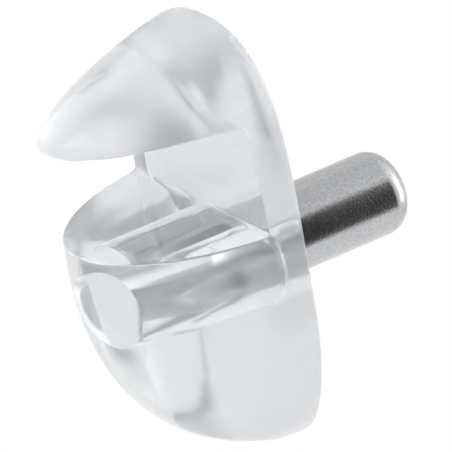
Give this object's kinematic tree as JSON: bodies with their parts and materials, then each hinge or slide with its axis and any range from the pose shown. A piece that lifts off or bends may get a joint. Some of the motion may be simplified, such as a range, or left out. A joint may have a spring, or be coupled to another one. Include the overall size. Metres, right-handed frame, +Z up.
{
  "type": "shelf support pin",
  "caption": "Clear moulded shelf support: a hooded slot grips the shelf's edge and a steel pin presses into the side panel.",
  "frame": {"origin": "on the pin's centre line, in the plane of the body's flat back", "axes": "+Z up; +Y along the pin into the side panel; +X across the shelf slot, which runs right through from side to side and opens towards -Y"},
  "size_m": [0.0142, 0.022, 0.0259],
  "materials": {
    "clear_plastic": "clear colourless acrylic, moulded smooth",
    "steel": "satin zinc-bright steel"
  },
  "bodies": {
    "root": {"body": "clear_plastic", "pin": "steel"}
  },
  "joints": []
}
